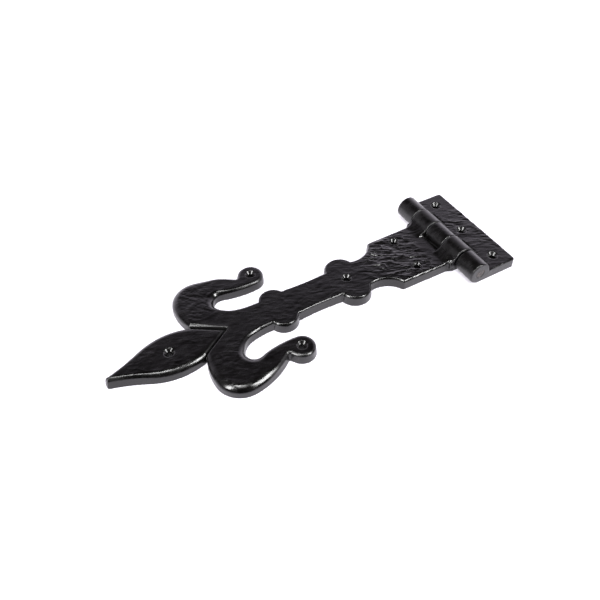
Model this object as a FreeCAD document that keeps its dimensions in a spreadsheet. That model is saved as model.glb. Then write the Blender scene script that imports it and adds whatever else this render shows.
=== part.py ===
import FreeCAD, Part
import math
import os

import Sketcher

# Cast strap hinge, lying face up on its back.
#   +X  towards the frame plate, -X along the strap to the leaf tip
#   +Y  along the hinge pin
#   +Z  out of the face; z = 0 is the plane both backs are screwed against
# The origin lies on that plane, straight behind the middle of the pin.

DOCUMENT_NAME = "StrapHinge"
SHEET_NAME = "Sizes"

# Driving dimensions, in millimetres (angles in degrees).
SIZES = {
    # castings
    "casting_thickness": 9.0,
    "leaf_thickness": 8.0,
    "edge_round": 1.2,
    "leaf_edge_round": 1.5,
    # barrel and pin
    "barrel_length": 102.0,
    "barrel_radius": 9.7,
    "knuckle_gap": 0.3,
    "plate_relief": 15.2,
    "strap_relief": 10.5,
    "strap_root_relief": 14.2,
    "pin_radius": 4.3,
    "pin_running_gap": 0.05,
    "pin_recess": 0.3,
    "plate_root_round": 1.2,
    "strap_root_round": 5.0,
    # screw holes
    "screw_hole": 4.4,
    "plate_countersink": 9.4,
    "strap_countersink": 8.6,
    "countersink_angle": 90.0,
    # frame plate
    "plate_width": 38.6,
    "plate_back_flat": 2.0,
    "plate_corner_round": 2.6,
    "plate_outer_hole_x": 24.6,
    "plate_outer_hole_y": 38.5,
    "plate_middle_hole_x": 22.8,
    # strap: flare beside the knuckles, wide panel and its shoulder
    "flare_start_x": 10.0,
    "flare_end_x": 18.5,
    "flare_round": 11.0,
    "panel_root_y": 27.5,
    "shoulder_x": 58.8,
    "shoulder_y": 27.0,
    "shoulder_round": 22.0,
    "panel_hole_x": 38.2,
    "panel_hole_y": 16.8,
    # strap: large lobes, waist and small lobes
    "large_lobe_right_x": 84.0,
    "large_lobe_right_y": 15.3,
    "large_lobe_left_x": 109.5,
    "large_lobe_left_y": 13.9,
    "large_lobe_round": 13.2,
    "waist_round": 262.0,
    "small_lobe_right_x": 150.6,
    "small_lobe_right_y": 13.9,
    "small_lobe_left_x": 171.9,
    "small_lobe_left_y": 12.6,
    "small_lobe_round": 11.5,
    "lobe_hole_x": 97.6,
    # curls: neck, bay, arm, ball and outer sweep
    "neck_end_x": 192.0,
    "neck_round": 70.0,
    "bay_entry_round": 17.0,
    "bay_x": 195.8,
    "bay_y": 27.9,
    "bay_round": 8.0,
    "arm_inner_round": 80.0,
    "ball_x": 164.2,
    "ball_y": 43.0,
    "ball_radius": 10.5,
    "arm_notch_x": 176.3,
    "arm_notch_y": 46.5,
    "arm_notch_round": 1.6,
    "curl_arm_round": 64.0,
    "curl_x": 212.6,
    "curl_y": 38.5,
    "curl_round": 20.8,
    "leaf_notch_x": 229.2,
    "leaf_notch_y": 15.2,
    "curl_foot_round": 50.0,
    "leaf_valley_x": 206.0,
    # leaf
    "leaf_root_x": 198.0,
    "leaf_belly_x": 273.0,
    "leaf_belly_round": 52.0,
    "leaf_sweep_round": 150.0,
    "leaf_tip_x": 301.2,
    "leaf_tip_y": 2.5,
    "leaf_hole_x": 252.6,
}


class Size:
    """A length together with the sheet expression that gives it."""

    def __init__(self, value, text):
        self.value = value
        self.text = text

    def __neg__(self):
        return Size(-self.value, "(-" + self.text + ")")

    def __add__(self, other):
        other = as_size(other)
        return Size(self.value + other.value, "(" + self.text + " + " + other.text + ")")

    def __sub__(self, other):
        other = as_size(other)
        return Size(self.value - other.value, "(" + self.text + " - " + other.text + ")")

    def __mul__(self, factor):
        return Size(self.value * factor, "(" + self.text + " * " + str(factor) + ")")


def as_size(value):
    if isinstance(value, Size):
        return value
    return Size(value, str(value))


def value_of(length):
    return as_size(length).value


def size(alias):
    return Size(SIZES[alias], SHEET_NAME + "." + alias)


# Lengths closer than this count as equal, and cuts run this far past the barrel.
TOUCH = 0.001
CUT_OVERRUN = 1.0
KNUCKLE_COUNT = 5

ZERO = Size(0.0, "0")
ORIGIN_POINT = (-1, 1)
HORIZONTAL_AXIS = -1
VERTICAL_AXIS = -2
START = 1
END = 2
CENTRE = 3
LEFT = 1
RIGHT = -1


def make_sheet(doc):
    sheet = doc.addObject("Spreadsheet::Sheet", SHEET_NAME)
    for row, (alias, value) in enumerate(SIZES.items(), start=1):
        sheet.set("A" + str(row), alias)
        sheet.set("B" + str(row), str(value))
        sheet.setAlias("B" + str(row), alias)
    doc.recompute()
    return sheet


def make_body(doc, label):
    body = doc.addObject("PartDesign::Body", label)
    body.Label = label
    doc.recompute()
    return body


def origin_plane(body, role):
    for feature in body.Origin.OriginFeatures:
        if feature.Role == role:
            return feature
    raise RuntimeError("no origin plane " + role)


def make_sketch(body, name, role, height=None):
    """A sketch on one of the body's own origin planes, lifted by height if given."""
    sketch = body.newObject("Sketcher::SketchObject", name)
    sketch.AttachmentSupport = [(origin_plane(body, role), "")]
    sketch.MapMode = "FlatFace"
    if height is not None:
        sketch.setExpression("AttachmentOffset.Base.z", height.text)
    body.Document.recompute()
    return sketch


def bind_distance(sketch, kind, geometry, end, length):
    constraint = Sketcher.Constraint(kind, *ORIGIN_POINT, geometry, end, length.value)
    index = sketch.addConstraint(constraint)
    sketch.setExpression("Constraints[" + str(index) + "]", length.text)


def bind_radius(sketch, geometry, radius):
    index = sketch.addConstraint(Sketcher.Constraint("Radius", geometry, radius.value))
    sketch.setExpression("Constraints[" + str(index) + "]", radius.text)


def fix_point(sketch, geometry, end, x, y):
    """Hold a point at x, y. A zero puts it on the axis; a plain number is left to be solved."""
    if x is ZERO and y is ZERO:
        sketch.addConstraint(Sketcher.Constraint("Coincident", geometry, end, *ORIGIN_POINT))
        return
    for coordinate, kind, axis in ((x, "DistanceX", VERTICAL_AXIS), (y, "DistanceY", HORIZONTAL_AXIS)):
        if coordinate is ZERO:
            sketch.addConstraint(Sketcher.Constraint("PointOnObject", geometry, end, axis))
        elif isinstance(coordinate, Size):
            bind_distance(sketch, kind, geometry, end, coordinate)


def short_arc_centre(start, end, radius, turn):
    """The centre of the short arc from start to end."""
    chord = end - start
    offset = math.sqrt(radius ** 2 - (chord.Length * 0.5) ** 2)
    side = FreeCAD.Vector(-chord.y, chord.x, 0).normalize()
    return (start + end) * 0.5 + side * (offset * turn)


def arc_about(centre, start, end, radius, turn):
    first, last = (start, end) if turn == LEFT else (end, start)
    first_angle = math.atan2(first.y - centre.y, first.x - centre.x)
    last_angle = math.atan2(last.y - centre.y, last.x - centre.x)
    circle = Part.Circle(centre, FreeCAD.Vector(0, 0, 1), radius)
    return Part.ArcOfCircle(circle, first_angle, last_angle)


def sharp(x, y, edge=None):
    """An outline corner held at x, y. Its edge to the next corner is straight, or an arc."""
    return {"x": x, "y": y, "smooth": False, "edge": edge}


def smooth(x, y, edge=None):
    """A corner where two edges run into each other without a kink. A plain number for x or y
    is only a starting guess: the tangency settles it."""
    return {"x": x, "y": y, "smooth": True, "edge": edge}


def arc(radius, turn, centre=None):
    """An arc edge, turning LEFT or RIGHT; a centre holds its circle in place."""
    return {"radius": radius, "turn": turn, "centre": centre}


def add_edge(sketch, start, end, edge):
    """Draw one edge; returns its number and which of its ends lie at start and end."""
    if edge is None:
        return sketch.addGeometry(Part.LineSegment(start, end), False), START, END
    radius = edge["radius"].value
    turn = edge["turn"]
    if edge["centre"] is None:
        centre = short_arc_centre(start, end, radius, turn)
    else:
        centre = FreeCAD.Vector(edge["centre"][0].value, edge["centre"][1].value, 0)
    geometry = sketch.addGeometry(arc_about(centre, start, end, radius, turn), False)
    return (geometry, START, END) if turn == LEFT else (geometry, END, START)


def draw_outline(sketch, corners):
    """A closed outline through the corners, fully held by its sizes and tangencies."""
    points = [FreeCAD.Vector(value_of(item["x"]), value_of(item["y"]), 0) for item in corners]
    edges = []
    for number, item in enumerate(corners):
        following = points[(number + 1) % len(points)]
        edges.append(add_edge(sketch, points[number], following, item["edge"]))
    for number, item in enumerate(corners):
        geometry, first, _ = edges[number]
        previous, _, previous_last = edges[number - 1]
        joint = "Tangent" if item["smooth"] else "Coincident"
        sketch.addConstraint(Sketcher.Constraint(joint, previous, previous_last, geometry, first))
        fix_point(sketch, geometry, first, item["x"], item["y"])
        edge = item["edge"]
        if edge is not None:
            bind_radius(sketch, geometry, edge["radius"])
            if edge["centre"] is not None:
                fix_point(sketch, geometry, CENTRE, *edge["centre"])
    sketch.Document.recompute()
    if sketch.solve() != 0:
        raise RuntimeError(sketch.Label + " can't be solved")


def draw_circle(sketch, x, y, radius):
    centre = FreeCAD.Vector(x.value, y.value, 0)
    circle = Part.Circle(centre, FreeCAD.Vector(0, 0, 1), radius.value)
    geometry = sketch.addGeometry(circle, False)
    fix_point(sketch, geometry, CENTRE, x, y)
    bind_radius(sketch, geometry, radius)


def draw_rectangle(sketch, low_x, high_x, low_y, high_y):
    corners = [(low_x, low_y), (high_x, low_y), (high_x, high_y), (low_x, high_y)]
    draw_outline(sketch, [sharp(x, y) for x, y in corners])


def add_pad(body, name, sketch, length, both_ways=False):
    before = solid_volume(body)
    pad = body.newObject("PartDesign::Pad", name)
    pad.Profile = sketch
    pad.setExpression("Length", length.text)
    pad.Midplane = both_ways
    body.Document.recompute()
    if solid_volume(body) <= before:
        raise RuntimeError(name + " added nothing")
    return pad


def add_pocket(body, name, sketch, both_ways=False, reversed_cut=False):
    before = solid_volume(body)
    pocket = body.newObject("PartDesign::Pocket", name)
    pocket.Profile = sketch
    pocket.Type = "ThroughAll"
    pocket.Midplane = both_ways
    pocket.Reversed = reversed_cut
    body.Document.recompute()
    if solid_volume(body) >= before:
        raise RuntimeError(name + " cut nothing")
    return pocket


def add_mirror(body, name, features):
    """Repeat the features on the other side of the X-Z plane."""
    mirror = body.newObject("PartDesign::Mirrored", name)
    mirror.Originals = features
    mirror.MirrorPlane = (origin_plane(body, "XZ_Plane"), [""])
    body.Tip = mirror
    body.Document.recompute()
    return mirror


def solid_volume(body):
    if body.Tip is None or body.Shape.isNull():
        return 0.0
    return body.Shape.Volume


def add_screw_holes(body, name, positions, countersink, top):
    """Countersunk wood-screw holes, cut down from the face."""
    sketch = make_sketch(body, name + "_centres", "XY_Plane", top)
    for x, y in positions:
        draw_circle(sketch, x, y, size("screw_hole") * 0.5)
    body.Document.recompute()
    before = solid_volume(body)
    hole = body.newObject("PartDesign::Hole", name)
    hole.Profile = sketch
    body.Document.recompute()
    hole.DepthType = "ThroughAll"
    hole.ThreadType = "None"
    hole.HoleCutType = "Countersink"
    hole.HoleCutCustomValues = True
    hole.setExpression("Diameter", size("screw_hole").text)
    hole.setExpression("HoleCutDiameter", countersink.text)
    hole.setExpression("HoleCutCountersinkAngle", size("countersink_angle").text)
    body.Document.recompute()
    if solid_volume(body) >= before:
        raise RuntimeError(name + " cut nothing")
    return hole


def round_edges(body, name, wanted, radius):
    """Fillet every edge of the body for which wanted(edge) holds."""
    names = []
    for number, edge in enumerate(body.Shape.Edges, start=1):
        if wanted(edge):
            names.append("Edge" + str(number))
    if not names:
        raise RuntimeError(name + " found no edges")
    base = body.Tip
    fillet = body.newObject("PartDesign::Fillet", name)
    fillet.Base = (base, names)
    fillet.setExpression("Radius", radius.text)
    body.Document.recompute()
    if not body.Shape.isValid():
        raise RuntimeError(name + " spoils the solid")
    return fillet


def lies_at_height(edge, height):
    box = edge.BoundBox
    return abs(box.ZMin - height) < TOUCH and abs(box.ZMax - height) < TOUCH


def touches_centre(box):
    return box.YMin < TOUCH and box.YMax > -TOUCH


def knuckle_joint(number):
    """How far from the middle of the barrel its first or second knuckle joint lies."""
    pitch = size("barrel_length") * (1.0 / KNUCKLE_COUNT)
    return pitch * (number - 0.5)


def add_barrel(body, length):
    """The round barrel, tangent to the back plane."""
    sketch = make_sketch(body, body.Label + "_barrel_circle", "XZ_Plane")
    draw_circle(sketch, ZERO, size("barrel_radius"), size("barrel_radius"))
    return add_pad(body, body.Label + "_barrel", sketch, length, both_ways=True)


def add_pin_bore(body, radius):
    sketch = make_sketch(body, body.Label + "_bore_circle", "XZ_Plane")
    draw_circle(sketch, ZERO, size("barrel_radius"), radius)
    return add_pocket(body, body.Label + "_pin_bore", sketch, both_ways=True)


def root_tangent(root_round):
    """Where the concave round between the flat face and the barrel touches each of them:
    the distance out along the face, then the point on the barrel."""
    barrel = SIZES["barrel_radius"]
    face = SIZES["casting_thickness"]
    centre_height = face + root_round - barrel
    centre_out = math.sqrt((barrel + root_round) ** 2 - centre_height ** 2)
    share = barrel / (barrel + root_round)
    return centre_out, centre_out * share, barrel + centre_height * share


def add_root(body, root_alias, side, length):
    """The concave web that carries the flat face up on to the barrel, on the +X side for
    side = 1 and on the -X side for side = -1."""
    face_x, barrel_x, barrel_z = root_tangent(SIZES[root_alias])
    sketch = make_sketch(body, body.Label + "_root_profile", "XZ_Plane")
    middle = 0.5 * SIZES["casting_thickness"]
    web = arc(size(root_alias), RIGHT if side > 0 else LEFT)
    draw_outline(sketch, [
        sharp(ZERO, as_size(middle)),
        sharp(as_size(side * face_x), as_size(middle)),
        sharp(as_size(side * face_x), size("casting_thickness"), web),
        sharp(as_size(side * barrel_x), as_size(barrel_z)),
        sharp(ZERO, as_size(barrel_z)),
    ])
    return add_pad(body, body.Label + "_root", sketch, length, both_ways=True)


def make_frame_plate(doc):
    """The rectangular plate with the two end knuckles and the middle one."""
    body = make_body(doc, "frame_plate")
    half_length = size("barrel_length") * 0.5
    width = size("plate_width")
    corner = size("plate_corner_round")
    sketch = make_sketch(body, "plate_outline", "XY_Plane")
    draw_outline(sketch, [
        sharp(-size("plate_back_flat"), -half_length),
        sharp(width - corner, -half_length, arc(corner, LEFT)),
        sharp(width, corner - half_length),
        sharp(width, half_length - corner, arc(corner, LEFT)),
        sharp(width - corner, half_length),
        sharp(-size("plate_back_flat"), half_length),
    ])
    add_pad(body, "plate_slab", sketch, size("casting_thickness"))
    add_barrel(body, size("barrel_length"))
    add_root(body, "plate_root_round", 1, size("barrel_length"))

    slots = make_sketch(body, "strap_knuckle_slots", "XY_Plane")
    inner = knuckle_joint(1)
    outer = knuckle_joint(2)
    beyond_barrel = -size("barrel_radius") - CUT_OVERRUN
    draw_rectangle(slots, beyond_barrel, size("plate_relief"), inner, outer)
    draw_rectangle(slots, beyond_barrel, size("plate_relief"), -outer, -inner)
    add_pocket(body, "strap_knuckle_clearance", slots, reversed_cut=True)

    add_pin_bore(body, size("pin_radius"))
    add_screw_holes(body, "plate_screw_holes", [
        (size("plate_outer_hole_x"), size("plate_outer_hole_y")),
        (size("plate_outer_hole_x"), -size("plate_outer_hole_y")),
        (size("plate_middle_hole_x"), ZERO),
    ], size("plate_countersink"), size("casting_thickness"))

    def outer_top_edge(edge):
        corner_start = SIZES["plate_width"] - SIZES["plate_corner_round"]
        on_face = lies_at_height(edge, SIZES["casting_thickness"])
        return on_face and edge.BoundBox.XMax > corner_start - TOUCH

    round_edges(body, "plate_edge_round", outer_top_edge, size("edge_round"))
    return body


def stem_and_curl_outline():
    """Half of the strap from the knuckles to the curls, on the +Y side of the centre line."""
    knuckle_end = knuckle_joint(2) - size("knuckle_gap")
    bay = (-size("bay_x"), size("bay_y"))
    ball = (-size("ball_x"), size("ball_y"))
    notch = (-size("arm_notch_x"), size("arm_notch_y"))
    curl = (-size("curl_x"), size("curl_y"))
    bay_round = SIZES["bay_round"]
    ball_radius = SIZES["ball_radius"]
    notch_round = SIZES["arm_notch_round"]
    curl_round = SIZES["curl_round"]
    guessed_rise = 3.0
    return [
        sharp(ZERO, ZERO),
        sharp(ZERO, knuckle_end),
        sharp(-size("flare_start_x"), knuckle_end, arc(size("flare_round"), RIGHT)),
        sharp(-size("flare_end_x"), size("panel_root_y")),
        sharp(-size("shoulder_x"), size("shoulder_y"), arc(size("shoulder_round"), RIGHT)),
        sharp(-size("large_lobe_right_x"), size("large_lobe_right_y"),
              arc(size("large_lobe_round"), LEFT)),
        sharp(-size("large_lobe_left_x"), size("large_lobe_left_y"), arc(size("waist_round"), RIGHT)),
        sharp(-size("small_lobe_right_x"), size("small_lobe_right_y"),
              arc(size("small_lobe_round"), LEFT)),
        sharp(-size("small_lobe_left_x"), size("small_lobe_left_y"), arc(size("neck_round"), RIGHT)),
        smooth(-size("neck_end_x"), SIZES["small_lobe_left_y"] + guessed_rise,
               arc(size("bay_entry_round"), RIGHT)),
        smooth(bay[0].value - bay_round, bay[1].value, arc(size("bay_round"), RIGHT, bay)),
        smooth(bay[0].value, bay[1].value + bay_round, arc(size("arm_inner_round"), LEFT)),
        smooth(ball[0].value, ball[1].value - ball_radius, arc(size("ball_radius"), LEFT, ball)),
        smooth(ball[0].value - ball_radius, ball[1].value + 0.5 * ball_radius),
        smooth(notch[0].value + notch_round, notch[1].value - 0.5 * notch_round,
               arc(size("arm_notch_round"), RIGHT, notch)),
        smooth(notch[0].value - 0.5 * notch_round, notch[1].value - notch_round,
               arc(size("curl_arm_round"), LEFT)),
        smooth(curl[0].value, curl[1].value + curl_round, arc(size("curl_round"), LEFT, curl)),
        smooth(curl[0].value - curl_round, curl[1].value, arc(size("curl_foot_round"), LEFT)),
        sharp(-size("leaf_notch_x"), size("leaf_notch_y")),
        sharp(-size("leaf_valley_x"), ZERO),
    ]


def leaf_outline():
    """Half of the pointed leaf, on the +Y side of the centre line; its root lies under the curl."""
    return [
        sharp(-size("leaf_root_x"), ZERO),
        sharp(-size("leaf_notch_x"), size("leaf_notch_y"), arc(size("leaf_belly_round"), LEFT)),
        smooth(-size("leaf_belly_x"), SIZES["leaf_notch_y"], arc(size("leaf_sweep_round"), RIGHT)),
        sharp(-size("leaf_tip_x"), size("leaf_tip_y")),
        sharp(-size("leaf_tip_x"), ZERO),
    ]


def add_middle_slot(body, name, relief, height=None):
    """Cuts the strap away from the plate's middle knuckle, upwards from the given height."""
    half_width = knuckle_joint(1) + size("knuckle_gap")
    sketch = make_sketch(body, name + "_outline", "XY_Plane", height)
    draw_rectangle(sketch, -relief, size("barrel_radius") + CUT_OVERRUN, -half_width, half_width)
    return add_pocket(body, name, sketch, reversed_cut=True)


def make_strap_leaf(doc):
    """The long strap: two knuckles, panel, two pairs of lobes, curls and leaf, in one casting."""
    body = make_body(doc, "strap_leaf")
    leaf_sketch = make_sketch(body, "leaf", "XY_Plane")
    draw_outline(leaf_sketch, leaf_outline())
    leaf = add_pad(body, "leaf_slab", leaf_sketch, size("leaf_thickness"))
    add_mirror(body, "other_half_leaf", [leaf])

    def leaf_top_edge(edge):
        box = edge.BoundBox
        on_face = lies_at_height(edge, SIZES["leaf_thickness"])
        return on_face and box.XMax < -SIZES["leaf_root_x"] - TOUCH

    round_edges(body, "leaf_edge_round", leaf_top_edge, size("leaf_edge_round"))

    stem_sketch = make_sketch(body, "stem_and_curl", "XY_Plane")
    draw_outline(stem_sketch, stem_and_curl_outline())
    stem = add_pad(body, "stem_slab", stem_sketch, size("casting_thickness"))
    add_mirror(body, "other_half_stem", [stem])

    def stem_top_edge(edge):
        """Any edge of the stem's face but those at the knuckles and in the leaf's valley."""
        box = edge.BoundBox
        at_knuckles = box.XMin > -SIZES["flare_start_x"] - TOUCH
        from_notch = box.XMin > -SIZES["leaf_notch_x"] - TOUCH
        in_valley = from_notch and box.XMax < -SIZES["leaf_valley_x"] + TOUCH and touches_centre(box)
        on_face = lies_at_height(edge, SIZES["casting_thickness"])
        return on_face and not at_knuckles and not in_valley

    round_edges(body, "strap_edge_round", stem_top_edge, size("edge_round"))

    span = (knuckle_joint(2) - size("knuckle_gap")) * 2.0
    add_barrel(body, span)
    add_root(body, "strap_root_round", -1, span)

    add_middle_slot(body, "plate_knuckle_clearance", size("strap_relief"))
    add_middle_slot(body, "root_clearance", size("strap_root_relief"), size("casting_thickness"))

    add_pin_bore(body, size("pin_radius") + size("pin_running_gap"))
    add_screw_holes(body, "strap_screw_holes", [
        (-size("panel_hole_x"), size("panel_hole_y")),
        (-size("panel_hole_x"), -size("panel_hole_y")),
        (-size("lobe_hole_x"), ZERO),
        (-size("ball_x"), size("ball_y")),
        (-size("ball_x"), -size("ball_y")),
    ], size("strap_countersink"), size("casting_thickness"))
    add_screw_holes(body, "leaf_screw_hole", [
        (-size("leaf_hole_x"), ZERO),
    ], size("strap_countersink"), size("leaf_thickness"))
    return body


def make_hinge_pin(doc):
    """A plain round pin, a little shorter than the barrel."""
    body = make_body(doc, "hinge_pin")
    sketch = make_sketch(body, "pin_circle", "XZ_Plane")
    draw_circle(sketch, ZERO, size("barrel_radius"), size("pin_radius"))
    length = size("barrel_length") - size("pin_recess") * 2.0
    add_pad(body, "pin_rod", sketch, length, both_ways=True)
    return body


def check_document(doc, bodies):
    for item in doc.Objects:
        for state in item.State:
            if state in ("Invalid", "Error"):
                raise RuntimeError(item.Label + " is " + state)
    for body in bodies:
        if body.Shape.isNull() or not body.Shape.isValid():
            raise RuntimeError(body.Label + " has no valid shape")
        if len(body.Shape.Solids) != 1:
            raise RuntimeError(body.Label + " is not one solid")


def main():
    doc = FreeCAD.newDocument(DOCUMENT_NAME)
    make_sheet(doc)
    bodies = [make_frame_plate(doc), make_strap_leaf(doc), make_hinge_pin(doc)]
    doc.recompute()
    check_document(doc, bodies)
    os.makedirs("parts", exist_ok=True)
    for body in bodies:
        body.Shape.exportStep("parts/" + body.Label + ".step")
        print(body.Label, round(body.Shape.Volume), "mm3")


main()
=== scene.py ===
import math

import bmesh
import bpy
import numpy as np
from mathutils import Matrix, Vector
from mathutils.kdtree import KDTree


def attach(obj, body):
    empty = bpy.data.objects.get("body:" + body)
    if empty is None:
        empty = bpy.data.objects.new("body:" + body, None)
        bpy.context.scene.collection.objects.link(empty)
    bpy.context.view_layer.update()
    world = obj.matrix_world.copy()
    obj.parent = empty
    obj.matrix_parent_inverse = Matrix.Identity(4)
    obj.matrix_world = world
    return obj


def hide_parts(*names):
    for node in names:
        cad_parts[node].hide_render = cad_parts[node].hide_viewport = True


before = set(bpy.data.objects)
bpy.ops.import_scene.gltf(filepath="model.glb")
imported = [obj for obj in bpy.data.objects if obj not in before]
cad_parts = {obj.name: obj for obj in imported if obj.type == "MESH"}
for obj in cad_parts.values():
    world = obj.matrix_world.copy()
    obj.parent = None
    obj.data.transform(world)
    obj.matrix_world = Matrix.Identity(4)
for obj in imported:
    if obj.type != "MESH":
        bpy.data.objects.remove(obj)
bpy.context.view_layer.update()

# Cast strap hinge. +X towards the frame plate, -X along the strap, +Y along the pin, +Z out of the face.
MM = 0.001
PIN_HEIGHT = 9.7
BARREL_RADIUS = 9.7
HALF_BARREL = 51.0
FACE = 9.0


# ---------------------------------------------------------------- smooth seeded noise

def lattice_values(cells, seed):
    """A repeatable value from -1 to 1 for each row of whole numbers."""
    mixed = (cells[:, 0] * 73856093) ^ (cells[:, 1] * 19349663) ^ (cells[:, 2] * 83492791) ^ (seed * 2654435761)
    mixed = (mixed ^ (mixed >> 13)) * 1274126177
    mixed = mixed ^ (mixed >> 16)
    return (mixed & 0xFFFF) / 32767.5 - 1.0


def noise(points, cell, seed):
    """Value noise at points (mm), with its grain in mm along each axis."""
    scaled = points / np.array(cell, float)
    base = np.floor(scaled).astype(np.int64)
    part = scaled - base
    ease = part * part * part * (part * (part * 6.0 - 15.0) + 10.0)
    total = np.zeros(len(points))
    for corner in range(8):
        step = np.array([corner & 1, (corner >> 1) & 1, (corner >> 2) & 1])
        weight = np.prod(np.where(step == 1, ease, 1.0 - ease), axis=1)
        total += weight * lattice_values(base + step, seed)
    return total


def layered_noise(points, cell, seed, layers=3):
    total, strength = np.zeros(len(points)), 1.0
    cell = np.array(cell, float)
    for layer in range(layers):
        total += strength * noise(points + 17.3 * layer, cell, seed + layer)
        cell, strength = cell * 0.5, strength * 0.5
    return total


def smoothstep(low, high, value):
    t = np.clip((value - low) / (high - low), 0.0, 1.0)
    return t * t * (3.0 - 2.0 * t)


# ---------------------------------------------------------------- plan fields of a casting

def back_outline(mesh):
    """The largest loop round the flat back, as rows of x, y in mm."""
    bm = bmesh.new()
    bm.from_mesh(mesh)
    bmesh.ops.remove_doubles(bm, verts=bm.verts, dist=1e-6)
    back = {f for f in bm.faces if max(v.co.z for v in f.verts) < 1e-6 and f.normal.z < -0.99}
    following = {}
    for edge in bm.edges:
        inside = [loop for loop in edge.link_loops if loop.face in back]
        if len(inside) == 1:
            loop = inside[0]
            following[loop.vert.index] = loop.link_loop_next.vert.index
    loops = []
    while following:
        start, turn = next(iter(following.items()))
        chain = [start]
        while start in following:
            start = following.pop(start)
            chain.append(start)
        bm.verts.ensure_lookup_table()
        loops.append(np.array([bm.verts[i].co.xy for i in chain]) / MM)
    bm.free()
    return max(loops, key=lambda loop: np.ptp(loop[:, 0]) + np.ptp(loop[:, 1]))


def dense(points, spacing=0.2):
    """Points along a polyline, no further apart than the spacing."""
    rows = []
    for first, last in zip(points[:-1], points[1:]):
        count = max(1, int(np.ceil(np.linalg.norm(last - first) / spacing)))
        rows.append(first + (last - first) * (np.arange(count) / count)[:, None])
    rows.append(points[-1:])
    return np.vstack(rows)


def blurred(field, sigma):
    reach = int(np.ceil(3.0 * sigma))
    kernel = np.exp(-0.5 * (np.arange(-reach, reach + 1) / sigma) ** 2)
    kernel /= kernel.sum()
    for axis in (0, 1):
        padding = [(0, 0), (0, 0)]
        padding[axis] = (reach, reach)
        wide = np.pad(field, padding, mode="edge")
        field = np.apply_along_axis(lambda row: np.convolve(row, kernel, mode="valid"), axis, wide)
    return field


class PlanField:
    """A number for each place in the plan, read off a fine grid."""

    step = 0.5
    margin = 6.0

    def __init__(self, low, high):
        self.low = np.array(low) - self.margin
        self.count = np.ceil((np.array(high) + self.margin - self.low) / self.step).astype(int) + 1
        xs = self.low[0] + self.step * np.arange(self.count[0])
        ys = self.low[1] + self.step * np.arange(self.count[1])
        self.places = np.stack(np.meshgrid(xs, ys, indexing="ij"), axis=-1).reshape(-1, 2)

    def distance_to(self, line):
        points = dense(line)
        tree = KDTree(len(points))
        for number, (x, y) in enumerate(points):
            tree.insert((x, y, 0.0), number)
        tree.balance()
        found = [tree.find((x, y, 0.0))[2] for x, y in self.places]
        return np.array(found).reshape(self.count)

    def inside(self, loop):
        x, y = self.places[:, 0], self.places[:, 1]
        within = np.zeros(len(x), bool)
        for (x1, y1), (x2, y2) in zip(loop, np.roll(loop, -1, axis=0)):
            if y1 == y2:
                continue
            crosses = (y1 > y) != (y2 > y)
            within ^= crosses & (x < (x2 - x1) * (y - y1) / (y2 - y1) + x1)
        return within.reshape(self.count)

    def read(self, values, places):
        at = (places - self.low) / self.step
        at = np.clip(at, 0.0, self.count - 1.001)
        whole = at.astype(int)
        fx, fy = (at - whole).T
        i, j = whole.T
        return ((values[i, j] * (1 - fx) + values[i + 1, j] * fx) * (1 - fy)
                + (values[i, j + 1] * (1 - fx) + values[i + 1, j + 1] * fx) * fy)


# ---------------------------------------------------------------- mesh work

def remeshed_copy(node, name, voxel):
    """The CAD solid as an even mesh of small quads, ready to be worked like a casting."""
    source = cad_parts[node].data
    bm = bmesh.new()
    bm.from_mesh(source)
    bmesh.ops.remove_doubles(bm, verts=bm.verts, dist=1e-6)
    mesh = bpy.data.meshes.new(name)
    bm.to_mesh(mesh)
    bm.free()
    piece = bpy.data.objects.new(name, mesh)
    bpy.context.scene.collection.objects.link(piece)
    remesh = piece.modifiers.new("even_quads", "REMESH")
    remesh.mode = "VOXEL"
    remesh.voxel_size = voxel * MM
    remesh.adaptivity = 0.0
    evaluated = piece.evaluated_get(bpy.context.evaluated_depsgraph_get())
    even = bpy.data.meshes.new_from_object(evaluated)
    piece.modifiers.clear()
    piece.data = even
    even.name = name
    bpy.data.meshes.remove(mesh)
    return piece


def read_points(mesh):
    flat = np.empty(len(mesh.vertices) * 3)
    mesh.vertices.foreach_get("co", flat)
    return flat.reshape(-1, 3) / MM


def write_points(mesh, points):
    mesh.vertices.foreach_set("co", (points * MM).ravel())
    mesh.update()


def read_normals(mesh):
    flat = np.empty(len(mesh.vertices) * 3)
    mesh.vertex_normals.foreach_get("vector", flat)
    return flat.reshape(-1, 3)


def relax(mesh, points, amount, rounds):
    """Evens out the stair steps that remeshing leaves; amount is one number per point."""
    ends = np.empty(len(mesh.edges) * 2, np.int64)
    mesh.edges.foreach_get("vertices", ends)
    first, last = ends.reshape(-1, 2).T
    count = len(points)
    degree = np.bincount(first, minlength=count) + np.bincount(last, minlength=count)
    for _ in range(rounds):
        for factor in (1.0, -1.02):
            mean = np.stack([
                np.bincount(first, points[last, axis], count) + np.bincount(last, points[first, axis], count)
                for axis in range(3)
            ], axis=1) / degree[:, None]
            points = points + (mean - points) * (0.5 * factor * amount)[:, None]
    return points


def snap_countersink(points, x, y, top, rim):
    """Pulls the points in a screw hole on to its exact bore and 90 degree cone."""
    bore = 2.2
    across = points[:, :2] - np.array([x, y])
    radius = np.maximum(np.linalg.norm(across, axis=1), 1e-6)
    cone = bore + (points[:, 2] - (top - (rim - bore)))
    target = np.where(cone > bore, cone, bore)
    near = (np.abs(radius - target) < 0.55) & (radius < rim + 0.3) & (points[:, 2] > 0.35)
    near &= (points[:, 2] < top - 0.2)
    scale = np.where(near, target / radius, 1.0)
    moved = points.copy()
    moved[:, :2] = np.array([x, y]) + across * scale[:, None]
    return moved


def store(mesh, name, values):
    attribute = mesh.attributes.new(name, "FLOAT", "POINT")
    attribute.data.foreach_set("value", values.astype(np.float32))


def shade_smooth(mesh):
    mesh.polygons.foreach_set("use_smooth", np.ones(len(mesh.polygons), bool))


# ---------------------------------------------------------------- strap casting

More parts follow.
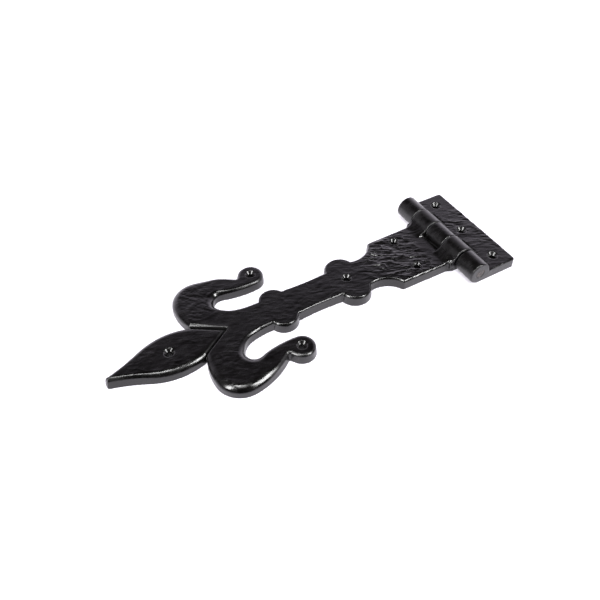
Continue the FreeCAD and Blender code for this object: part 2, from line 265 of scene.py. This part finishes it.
SCREWS_STRAP = [(-38.2, 16.8), (-38.2, -16.8), (-97.6, 0.0), (-164.2, 43.0), (-164.2, -43.0)]
LEAF_SCREW = (-252.6, 0.0)
NOTCH = np.array([229.2, 15.2])
JOINTS = (10.5, 30.3)
APEX_X = 206.0


def dome(distance, width):
    """A parabolic rise from 0 at an edge to 1 at the given width from it."""
    return 1.0 - (1.0 - np.clip(distance / width, 0.0, 1.0)) ** 2


def crown(distance, width):
    """A quarter-ellipse rise from 0 at an edge to 1 at the given width from it."""
    t = np.clip(distance / width, 0.0, 1.0)
    return np.sqrt(np.clip(1.0 - (1.0 - t) ** 2, 0.0, 1.0))


def web_height(x, web):
    """The height of the strap's face at x where a concave round of radius web climbs the barrel."""
    out = np.abs(x)
    centre_z = FACE + web
    centre_out = math.sqrt((BARREL_RADIUS + web) ** 2 - (centre_z - PIN_HEIGHT) ** 2)
    touch = centre_out * BARREL_RADIUS / (BARREL_RADIUS + web)
    on_web = centre_z - np.sqrt(np.maximum(web ** 2 - (centre_out - out) ** 2, 0.0))
    on_barrel = PIN_HEIGHT + np.sqrt(np.maximum(BARREL_RADIUS ** 2 - out ** 2, 0.0))
    return np.where(out < touch, on_barrel, np.where(out < centre_out, on_web, FACE))


def cast_ripples(points, seed, direction=-26.0, size=1.0, creases=0.34):
    """The drawn-out dents and wrinkles of the pattern's hammered skin, in mm."""
    turn = math.radians(direction)
    along = points[:, 0] * math.cos(turn) + points[:, 1] * math.sin(turn)
    across = -points[:, 0] * math.sin(turn) + points[:, 1] * math.cos(turn)
    turned = np.stack([along, across, points[:, 2]], axis=1)
    bend = 1.6 * noise(points, (14.0, 14.0, 14.0), seed + 40)
    turned[:, 1] += bend
    turned = turned / (0.88 * size)
    dents = layered_noise(turned, (7.0, 2.7, 6.0), seed, 2)
    dents = np.sign(dents) * np.abs(dents) ** 1.25
    waves = layered_noise(points, (13.0, 10.0, 12.0), seed + 9, 2)
    folds = (1.0 - np.minimum(np.abs(noise(turned, (11.0, 4.4, 7.0), seed + 60)), 1.0)) ** 6
    return size * (0.26 * dents + creases * folds) + 0.16 * waves


def make_strap():
    piece = remeshed_copy("strap_leaf", "strap_casting", 0.39)
    mesh = piece.data
    outline = back_outline(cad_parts["strap_leaf"].data)
    low, high = outline.min(0), outline.max(0)
    field = PlanField(low, high)
    to_edge = field.distance_to(outline)
    within = field.inside(outline)
    signed = np.where(within, to_edge, -to_edge)
    soft = blurred(signed, 1.6)
    slope_x, slope_y = np.gradient(soft, field.step)

    valley_lines = np.array([[-NOTCH[0], NOTCH[1]], [-APEX_X, 0.0], [-NOTCH[0], -NOTCH[1]]])
    to_valley = blurred(field.distance_to(valley_lines), 0.6)
    to_outer = blurred(np.maximum(signed, 0.0), 1.4)

    points = read_points(mesh)
    plan = points[:, :2]
    x, y, z = points.T
    stem = 1.0 - smoothstep(-13.0, -9.5, x)
    depth = field.read(soft, plan)
    valley = field.read(to_valley, plan)
    outer = field.read(to_outer, plan)
    from_ball = np.hypot(x + 164.2, np.abs(y) - 43.0)

    # which part of the fleur the point is in
    reach = np.clip((-x - APEX_X) / (NOTCH[0] - APEX_X), 0.0, 1.0)
    in_leaf = (-x > APEX_X) & (np.abs(y) < reach * NOTCH[1] + (-x > NOTCH[0]) * 40.0)
    leaf_wins = (-x > NOTCH[0]) & (np.abs(y) - NOTCH[1] < -x - NOTCH[0])
    curl_side = (-x > NOTCH[0]) & ~leaf_wins
    in_leaf = in_leaf & ~curl_side
    curl_share = smoothstep(174.0, 192.0, -x) + smoothstep(26.0, 32.0, np.abs(y)) * smoothstep(140.0, 150.0, -x)
    curl_share = np.where(in_leaf, 0.0, np.clip(curl_share, 0.0, 1.0))

    broad = smoothstep(188.0, 204.0, -x) * smoothstep(15.0, 28.0, np.abs(y))
    curl_edge = 7.4 - 3.4 * broad
    width = np.where(y > 0.0, 2.4, 2.8) + broad * np.where(y > 0.0, 3.2, 3.7)
    rounded = dome(outer, width) * (1.0 - broad) + crown(outer, width) * broad
    curl_height = curl_edge + (9.1 - curl_edge) * rounded
    run = np.where(y > 0.0, 1.0 + 2.6 * reach, 0.9)
    curl_height = np.minimum(curl_height, 9.1 - 0.48 * np.maximum(run - valley, 0.0))
    curl_height = np.minimum(curl_height, 6.3 + 2.4 * valley)
    ball_height = 7.8 + 1.3 * dome(outer, 2.8)
    curl_height += (ball_height - curl_height) * smoothstep(12.2, 10.4, from_ball)
    to_tip = smoothstep(258.0, 284.0, -x)
    leaf_edge = 4.7 + 1.5 * to_tip
    leaf_height = leaf_edge + (8.6 - leaf_edge) * crown(outer, 4.4 - 1.6 * to_tip)
    leaf_height = np.minimum(leaf_height, 6.0 + 2.6 * dome(valley, 3.4))
    at_waist = smoothstep(108.0, 116.0, -x) * smoothstep(152.0, 146.0, -x)
    stem_height = 9.1 - 0.8 * np.maximum(1.25 - 0.85 * at_waist - outer, 0.0)
    height = stem_height * (1.0 - curl_share) + curl_height * curl_share
    groove = 1.7 * np.exp(-(valley / 0.6) ** 2)
    leaf_height = leaf_height - groove
    height = height - groove
    lift = np.where(in_leaf, leaf_height / 8.0, height / 9.0)
    lifted = z * (1.0 + (lift - 1.0) * stem)
    along = np.minimum(np.abs(y) - JOINTS[0], JOINTS[1] - np.abs(y))
    on_web = smoothstep(-0.1, 0.5, along) * (z > FACE - 0.5) * (x < -6.0)
    lifted = lifted + on_web * (web_height(x, 13.0) - web_height(x, 5.0))

    # draft on the side walls, from an outline a little fuller than the solid's
    leaf_part = np.where(in_leaf, smoothstep(236.0, 290.0, -x), 0.0)
    slant = math.tan(math.radians(4.5)) + 0.16 * leaf_part
    fuller = 0.7 - 0.2 * curl_share + 0.1 * leaf_part
    shift = (lifted * slant - fuller) * stem * (1.0 - smoothstep(0.5, 7.0, depth))
    x = x + shift * field.read(slope_x, plan)
    y = y + shift * field.read(slope_y, plan)

    # the strap's knuckles stand a little proud of the plate's
    from_axis = np.maximum(np.hypot(x, lifted - PIN_HEIGHT), 1e-6)
    proud = -0.6 + 1.0 * crown(along, 1.2)
    proud *= smoothstep(8.0, 9.0, from_axis) * smoothstep(11.5, 10.2, from_axis) * smoothstep(2.0, 6.0, lifted)
    proud *= 1.0 - smoothstep(-5.5, -9.5, x)
    x = x * (1.0 + proud / from_axis)
    lifted = PIN_HEIGHT + (lifted - PIN_HEIGHT) * (1.0 + proud / from_axis)
    points = np.stack([x, y, lifted], axis=1)

    on_back = (points[:, 2] < 0.2) & (points[:, 0] < -4.0)
    free = np.where(on_back, 0.0, 0.8)
    points = relax(mesh, points, free, 3)
    at_flare = smoothstep(-26.0, -19.0, points[:, 0]) * smoothstep(-8.5, -10.5, points[:, 0])
    at_flare *= smoothstep(23.0, 26.0, np.abs(points[:, 1]))
    points = relax(mesh, points, at_flare * free, 14)
    write_points(mesh, points)

    normals = read_normals(mesh)
    from_axis = np.hypot(points[:, 0], points[:, 2] - PIN_HEIGHT)
    barrel = from_axis < BARREL_RADIUS + 0.6
    near_axis = from_axis < 6.5
    skin = cast_ripples(points, 5)
    panel = smoothstep(-20.0, -32.0, points[:, 0]) * (1.0 - smoothstep(66.0, 90.0, -points[:, 0]))
    curls = smoothstep(198.0, 212.0, -points[:, 0]) * smoothstep(14.0, 20.0, np.abs(points[:, 1]))
    far_curl = smoothstep(190.0, 212.0, -points[:, 0]) * smoothstep(14.0, 22.0, points[:, 1])
    skin += far_curl * (cast_ripples(points, 23, -52.0, 0.75, 0.1) - skin)
    patches = smoothstep(-0.5, 0.6, layered_noise(points, (16.0, 12.0, 16.0), 57, 2))
    panel = panel * (0.5 + 0.6 * patches)
    rough_cast = 0.16 + 0.84 * panel + 0.1 * curls + 0.35 * far_curl
    rough_cast += 0.12 * layered_noise(points, (25.0, 25.0, 25.0), 31, 2)
    rough_cast = np.clip(np.where(barrel, 0.06, rough_cast), 0.05, 1.0)
    facing = 1.0 - 0.75 * smoothstep(0.9, 0.5, np.abs(normals[:, 2]))
    facing *= 0.2 + 0.8 * smoothstep(0.8, 4.5, depth)
    facing *= np.where(points[:, 0] < -APEX_X + 4.0, 0.15 + 0.85 * smoothstep(2.0, 6.0, valley), 1.0)
    facing *= 1.0 - 0.7 * curl_share * smoothstep(0.985, 0.9, np.abs(normals[:, 2]))
    strength = (1.2 + 0.5 * panel) * rough_cast * facing * smoothstep(0.3, 1.5, points[:, 2]) * np.where(near_axis, 0.0, 1.0)
    points = points + normals * (skin * strength)[:, None]

    for hole_x, hole_y in SCREWS_STRAP:
        points = snap_countersink(points, hole_x, hole_y, 9.1, 4.35)
    points = snap_countersink(points, *LEAF_SCREW, 8.6, 4.35)
    points[:, 2] = np.maximum(points[:, 2], 0.0)
    write_points(mesh, points)
    off_back = 0.25 + 0.75 * smoothstep(0.1, 1.0, points[:, 2])
    store(mesh, "rough_cast", rough_cast * (0.35 + 0.65 * facing) * off_back)
    shade_smooth(mesh)
    return piece


# ---------------------------------------------------------------- plate casting

SCREWS_PLATE = [(24.6, 38.5), (24.6, -38.5), (22.8, 0.0)]


def make_plate():
    piece = remeshed_copy("frame_plate", "plate_casting", 0.4)
    mesh = piece.data
    points = read_points(mesh)
    x, y, z = points.T
    slab = smoothstep(11.0, 14.0, x)
    slant = math.tan(math.radians(1.5))
    side = smoothstep(HALF_BARREL - 8.0, HALF_BARREL, np.abs(y))
    y = y + np.sign(y) * (0.3 - z * slant * slab) * side
    front = smoothstep(30.0, 38.6, x)
    x = x + (0.35 - z * slant) * front

    # the far end of the barrel is rounded over
    from_axis = np.maximum(np.hypot(x, z - PIN_HEIGHT), 1e-6)
    bend = 1.1
    half = np.abs(y)
    along = np.where(half < 20.0, JOINTS[0] - 0.3 - half, half - JOINTS[1] - 0.3)
    rim = (1.0 - crown(along, 1.0)) * (from_axis > 8.5) * (from_axis < BARREL_RADIUS + 0.2) * (x < 9.5)
    from_axis = np.maximum(from_axis, 1e-6)
    inward = 1.0 - 0.55 * rim / from_axis
    x = x * inward
    z = PIN_HEIGHT + (z - PIN_HEIGHT) * inward
    y = np.where((y < -29.0) & (y > -32.5), y - 0.9 * smoothstep(-32.5, -30.7, y) * (x < 12.0), y)
    along = np.clip((y - (HALF_BARREL + 0.3 - bend)) / bend, 0.0, 1.0)
    limit = BARREL_RADIUS - bend + bend * np.sqrt(1.0 - along ** 2)
    tuck = np.where((from_axis > limit) & (from_axis < BARREL_RADIUS + 0.3) & (x < 9.0), limit / from_axis, 1.0)
    x = x * tuck
    z = PIN_HEIGHT + (z - PIN_HEIGHT) * tuck
    points = np.stack([x, y, z], axis=1)

    on_back = (points[:, 2] < 0.2) & (points[:, 0] > 4.0)
    points = relax(mesh, points, np.where(on_back, 0.0, 0.8), 3)
    write_points(mesh, points)
    normals = read_normals(mesh)
    from_axis = np.hypot(points[:, 0], points[:, 2] - PIN_HEIGHT)
    barrel = from_axis < BARREL_RADIUS + 0.6
    middle = 1.0 - smoothstep(12.0, 36.0, np.abs(points[:, 1]))
    rough_cast = 0.22 + 0.4 * middle + 0.15 * layered_noise(points, (25.0, 25.0, 25.0), 47, 2)
    rough_cast = np.clip(np.where(barrel, 0.06, rough_cast), 0.05, 1.0)
    facing = 1.0 - 0.75 * smoothstep(0.9, 0.5, np.abs(normals[:, 2]))
    strength = 1.1 * rough_cast * facing * smoothstep(0.3, 1.5, points[:, 2]) * np.where(from_axis < 6.5, 0.0, 1.0)
    points = points + normals * (cast_ripples(points, 71) * strength)[:, None]
    for hole_x, hole_y in SCREWS_PLATE:
        points = snap_countersink(points, hole_x, hole_y, 9.05, 4.75)
    points[:, 2] = np.maximum(points[:, 2], 0.0)
    write_points(mesh, points)
    off_back = 0.25 + 0.75 * smoothstep(0.1, 1.0, points[:, 2])
    store(mesh, "rough_cast", rough_cast * (0.35 + 0.65 * facing) * off_back)
    shade_smooth(mesh)
    return piece


# ---------------------------------------------------------------- pin

def make_pin():
    """A turned rod with chamfered, slightly dished ends."""
    profile = [(51.0, 0.0), (51.0, 1.1), (51.1, 1.5), (51.15, 2.3), (51.0, 2.6), (51.1, 3.0),
               (51.15, 3.8), (51.05, 4.1), (50.7, 4.3)]
    around = 96
    bm = bmesh.new()
    rings = []
    for sign in (1.0, -1.0):
        rows = profile if sign > 0 else profile[::-1]
        for along, radius in rows:
            if radius == 0.0:
                rings.append([bm.verts.new((0.0, sign * along * MM, PIN_HEIGHT * MM))])
                continue
            ring = []
            for number in range(around):
                angle = 2.0 * math.pi * number / around
                ring.append(bm.verts.new((radius * math.cos(angle) * MM, sign * along * MM,
                                          (PIN_HEIGHT + radius * math.sin(angle)) * MM)))
            rings.append(ring)
    for inner, outer in zip(rings[:-1], rings[1:]):
        for number in range(around):
            following = (number + 1) % around
            if len(inner) == 1:
                bm.faces.new((inner[0], outer[number], outer[following]))
            elif len(outer) == 1:
                bm.faces.new((inner[following], inner[number], outer[0]))
            else:
                bm.faces.new((inner[number], outer[number], outer[following], inner[following]))
    bmesh.ops.recalc_face_normals(bm, faces=bm.faces)
    mesh = bpy.data.meshes.new("pin_rod")
    bm.to_mesh(mesh)
    bm.free()
    shade_smooth(mesh)
    piece = bpy.data.objects.new("pin_rod", mesh)
    bpy.context.scene.collection.objects.link(piece)
    return piece


# ---------------------------------------------------------------- materials

def nodes_of(name):
    material = bpy.data.materials.new(name)
    material.use_nodes = True
    tree = material.node_tree
    return material, tree, tree.nodes["Principled BSDF"]


def add(tree, kind, **settings):
    node = tree.nodes.new(kind)
    for key, value in settings.items():
        setattr(node, key, value)
    return node


def noise_node(tree, place, scale, detail=4.0, rough=0.55, distortion=0.0):
    node = add(tree, "ShaderNodeTexNoise")
    node.inputs["Scale"].default_value = scale
    node.inputs["Detail"].default_value = detail
    node.inputs["Roughness"].default_value = rough
    node.inputs["Distortion"].default_value = distortion
    tree.links.new(place, node.inputs["Vector"])
    return node.outputs["Fac"]


def span(tree, value, low, high, to_low=0.0, to_high=1.0):
    node = add(tree, "ShaderNodeMapRange", clamp=True)
    tree.links.new(value, node.inputs["Value"])
    for key, number in (("From Min", low), ("From Max", high), ("To Min", to_low), ("To Max", to_high)):
        node.inputs[key].default_value = number
    return node.outputs["Result"]


def mix_colour(tree, factor, first, second):
    node = add(tree, "ShaderNodeMix", data_type="RGBA")
    if isinstance(factor, float):
        node.inputs["Factor"].default_value = factor
    else:
        tree.links.new(factor, node.inputs["Factor"])
    for key, value in (("A", first), ("B", second)):
        socket = [s for s in node.inputs if s.name == key and s.type == "RGBA"][0]
        if isinstance(value, tuple):
            socket.default_value = value + (1.0,)
        else:
            tree.links.new(value, socket)
    return [s for s in node.outputs if s.type == "RGBA"][0]


def math_node(tree, operation, first, second):
    node = add(tree, "ShaderNodeMath", operation=operation)
    for socket, value in zip(node.inputs, (first, second)):
        if isinstance(value, float):
            socket.default_value = value
        else:
            tree.links.new(value, socket)
    return node.outputs["Value"]


def bump(tree, height, strength, distance, under=None):
    node = add(tree, "ShaderNodeBump")
    node.inputs["Strength"].default_value = strength
    node.inputs["Distance"].default_value = distance * MM
    tree.links.new(height, node.inputs["Height"])
    if under is not None:
        tree.links.new(under, node.inputs["Normal"])
    return node.outputs["Normal"]


def black_paint():
    """Satin black paint over rough sand-cast iron."""
    material, tree, shader = nodes_of("black_paint")
    place = add(tree, "ShaderNodeTexCoord").outputs["Object"]
    stretched = add(tree, "ShaderNodeMapping")
    tree.links.new(place, stretched.inputs["Vector"])
    stretched.inputs["Rotation"].default_value = (0.0, 0.0, math.radians(24.0))
    stretched.inputs["Scale"].default_value = (0.42, 1.0, 1.0)
    drawn = stretched.outputs["Vector"]

    cloud = noise_node(tree, place, 55.0, 5.0)
    streak = noise_node(tree, drawn, 300.0, 1.2, 0.4, 0.5)
    grain = noise_node(tree, place, 1900.0, 3.0, 0.6)
    speck = noise_node(tree, place, 900.0, 2.0)

    skin = add(tree, "ShaderNodeAttribute", attribute_name="rough_cast").outputs["Fac"]

    colour = mix_colour(tree, span(tree, cloud, 0.35, 0.7), (0.0006, 0.0005, 0.0005), (0.0014, 0.0012, 0.0013))
    colour = mix_colour(tree, span(tree, speck, 0.68, 0.8, 0.0, 0.5), colour, (0.011, 0.0092, 0.009))
    edge = span(tree, add(tree, "ShaderNodeNewGeometry").outputs["Pointiness"], 0.53, 0.62, 0.0, 0.6)
    edge = math_node(tree, "MULTIPLY", edge, span(tree, streak, 0.4, 0.65))
    colour = mix_colour(tree, edge, colour, (0.03, 0.027, 0.028))
    tree.links.new(colour, shader.inputs["Base Color"])

    rough = span(tree, streak, 0.3, 0.7, 0.16, 0.26)
    rough = math_node(tree, "ADD", rough, span(tree, grain, 0.3, 0.7, -0.02, 0.05))
    rough = math_node(tree, "ADD", rough, span(tree, cloud, 0.35, 0.7, -0.02, 0.04))
    rough = math_node(tree, "ADD", rough, span(tree, skin, 0.03, 0.065, 0.12, 0.0))
    tree.links.new(rough, shader.inputs["Roughness"])
    shader.inputs["IOR"].default_value = 1.54

    relief = math_node(tree, "MULTIPLY", streak, math_node(tree, "ADD", math_node(tree, "MULTIPLY", skin, 0.9), 0.1))
    normal = bump(tree, relief, 1.0, 0.4)
    normal = bump(tree, grain, 0.5, 0.03, normal)
    tree.links.new(normal, shader.inputs["Normal"])
    return material


def pin_paint():
    """The cropped end of the rod, thinly painted, with turning rings and a rust-brown bloom."""
    material, tree, shader = nodes_of("pin_paint")
    place = add(tree, "ShaderNodeTexCoord").outputs["Object"]
    split = add(tree, "ShaderNodeSeparateXYZ")
    tree.links.new(place, split.inputs["Vector"])
    low = math_node(tree, "SUBTRACT", split.outputs["Z"], PIN_HEIGHT * MM)
    squares = math_node(tree, "ADD", math_node(tree, "MULTIPLY", split.outputs["X"], split.outputs["X"]),
                        math_node(tree, "MULTIPLY", low, low))
    radius = math_node(tree, "SQRT", squares, 0.0)
    rings = math_node(tree, "SINE", math_node(tree, "MULTIPLY", radius, 9000.0), 0.0)
    cloud = noise_node(tree, place, 330.0, 4.0)
    grain = noise_node(tree, place, 1700.0, 3.0)
    colour = mix_colour(tree, span(tree, cloud, 0.45, 0.62), (0.013, 0.0115, 0.0115), (0.062, 0.041, 0.029))
    colour = mix_colour(tree, span(tree, grain, 0.6, 0.75), colour, (0.006, 0.0055, 0.0055))
    tree.links.new(colour, shader.inputs["Base Color"])
    tree.links.new(span(tree, grain, 0.3, 0.7, 0.3, 0.5), shader.inputs["Roughness"])
    normal = bump(tree, rings, 0.25, 0.05)
    tree.links.new(bump(tree, grain, 0.3, 0.1, normal), shader.inputs["Normal"])
    return material


def floor_paper():
    material, tree, shader = nodes_of("floor_paper")
    place = add(tree, "ShaderNodeTexCoord").outputs["Object"]
    cloud = noise_node(tree, place, 6.0, 3.0)
    colour = mix_colour(tree, span(tree, cloud, 0.3, 0.7), (0.52, 0.505, 0.545), (0.54, 0.525, 0.565))
    tree.links.new(colour, shader.inputs["Base Color"])
    # The floor glows so that it stays evenly white. The glow is dimmed by ambient occlusion, a painted shade that
    # darkens the floor in the screw bores, in the slots and under the barrel.
    shader.inputs["Emission Color"].default_value = (0.66, 0.64, 0.69, 1.0)
    painted_shade_ao = add(tree, "ShaderNodeAmbientOcclusion", samples=8)
    painted_shade_ao.inputs["Distance"].default_value = 6.0 * MM
    tree.links.new(span(tree, painted_shade_ao.outputs["AO"], 0.08, 0.32, 0.0, 0.78), shader.inputs["Emission Strength"])
    shader.inputs["Roughness"].default_value = 0.9
    shader.inputs["Specular IOR Level"].default_value = 0.1
    return material


# ---------------------------------------------------------------- studio

def make_floor():
    bm = bmesh.new()
    bmesh.ops.create_grid(bm, x_segments=8, y_segments=8, size=6.0)
    mesh = bpy.data.meshes.new("floor")
    bm.to_mesh(mesh)
    bm.free()
    floor = bpy.data.objects.new("floor", mesh)
    floor.location = (-0.13, 0.0, -0.0002)
    mesh.materials.append(floor_paper())
    bpy.context.scene.collection.objects.link(floor)


def make_world():
    """A dim room with a bright sweep of paper low down behind the hinge."""
    world = bpy.data.worlds.new("studio")
    bpy.context.scene.world = world
    world.use_nodes = True
    tree = world.node_tree
    place = add(tree, "ShaderNodeTexCoord").outputs["Generated"]
    split = add(tree, "ShaderNodeSeparateXYZ")
    tree.links.new(place, split.inputs["Vector"])
    behind = add(tree, "ShaderNodeVectorMath", operation="DOT_PRODUCT")
    behind.inputs[1].default_value = (0.5, 0.866, 0.0)
    tree.links.new(place, behind.inputs[0])
    low = span(tree, split.outputs["Z"], 0.785, 0.56)
    back = span(tree, behind.outputs["Value"], 0.1, 0.6)
    sweep = math_node(tree, "MULTIPLY", low, back)
    colour = mix_colour(tree, sweep, (0.03, 0.026, 0.026), (0.92, 0.85, 0.99))
    horizon = math_node(tree, "MULTIPLY", span(tree, split.outputs["Z"], 0.52, 0.22), back)
    colour = mix_colour(tree, horizon, colour, (1.9, 1.78, 2.0))
    seen = add(tree, "ShaderNodeLightPath").outputs["Is Camera Ray"]
    colour = mix_colour(tree, seen, colour, (1.0, 1.0, 1.0))
    tree.links.new(colour, tree.nodes["Background"].inputs["Color"])


AIM = Vector((-0.13, 0.0, 0.005))


def softbox(name, azimuth, elevation, distance, width, height, power, tint=(1.0, 1.0, 1.0)):
    """An area light aimed at the hinge. Azimuth 0 lies towards -Y and 90 towards +X."""
    a, e = math.radians(azimuth), math.radians(elevation)
    out = Vector((math.sin(a) * math.cos(e), -math.cos(a) * math.cos(e), math.sin(e)))
    data = bpy.data.lights.new(name, "AREA")
    data.shape = "RECTANGLE"
    data.size, data.size_y = width, height
    data.energy = power
    data.color = tint
    light = bpy.data.objects.new(name, data)
    light.matrix_world = Matrix.Translation(AIM + out * distance) @ out.to_track_quat("Z", "Y").to_matrix().to_4x4()
    bpy.context.scene.collection.objects.link(light)


def make_camera():
    azimuth, elevation, roll = math.radians(-29.802), math.radians(47.006), math.radians(-0.04)
    distance, aside, up_shift, focal = 0.556896, -0.122795, -0.047412, 631.88
    back = Vector((math.sin(azimuth) * math.cos(elevation), -math.cos(azimuth) * math.cos(elevation),
                   math.sin(elevation)))
    right = Vector((math.cos(azimuth), math.sin(azimuth), 0.0))
    up = back.cross(right)
    data = bpy.data.cameras.new("camera")
    data.sensor_width = 36.0
    data.lens = focal / 600.0 * 36.0
    data.clip_start, data.clip_end = 0.01, 50.0
    camera = bpy.data.objects.new("camera", data)
    turn = Matrix((right, up, back)).transposed().to_4x4()
    camera.matrix_world = Matrix.Translation(back * distance + right * aside + up * up_shift) @ turn
    bpy.context.scene.collection.objects.link(camera)
    bpy.context.scene.camera = camera


# ---------------------------------------------------------------- put together

paint = black_paint()
for make, node, body, slot, material in (
    (make_strap, "strap_leaf", "strap", "black_iron", paint),
    (make_plate, "frame_plate", "frame", "black_iron", paint),
    (make_pin, "hinge_pin", "frame", "pin_steel", pin_paint()),
):
    made = make()
    made.data.materials.clear()
    made.data.materials.append(material)
    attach(made, body)
    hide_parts(node)

make_floor()
make_world()
softbox("key_left", -77.0, 42.0, 1.5, 0.28, 0.8, 25.0)
softbox("key_right", 36.0, 46.0, 1.5, 0.28, 0.9, 28.0)
softbox("top", -33.0, 78.0, 1.7, 0.5, 0.5, 7.0)
softbox("valley", -70.0, 75.0, 1.7, 0.3, 0.3, 8.0)
make_camera()
bpy.context.scene.view_settings.view_transform = "Standard"
